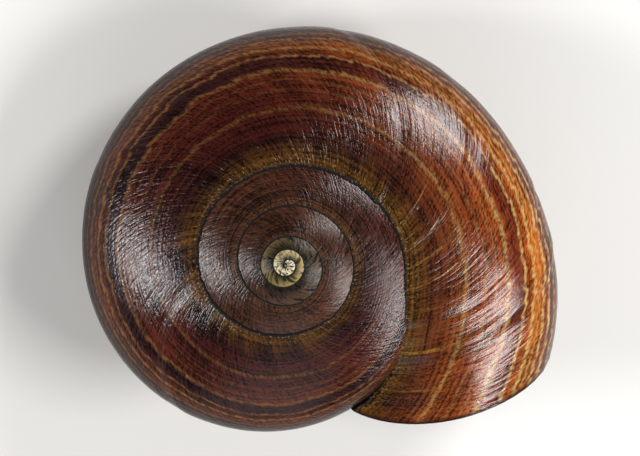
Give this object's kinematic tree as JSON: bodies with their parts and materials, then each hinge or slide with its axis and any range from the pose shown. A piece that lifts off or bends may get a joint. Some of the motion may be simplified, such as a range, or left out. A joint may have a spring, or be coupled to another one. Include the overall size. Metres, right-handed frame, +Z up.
{
  "type": "land snail shell",
  "caption": "Empty low-spired land snail shell with right-handed whorls, a wide oval mouth and a narrow umbilicus, lying on its base.",
  "frame": {"origin": "middle of the shell's box on the surface that it lies on", "axes": "+Z up; +X towards the outer lip; the mouth opens towards -Y"},
  "size_m": [0.0626, 0.0534, 0.027],
  "materials": {
    "shell": "glossy horny skin over lime, with fine growth lines and brown bands"
  },
  "bodies": {
    "root": {"shell": "shell"}
  },
  "joints": []
}
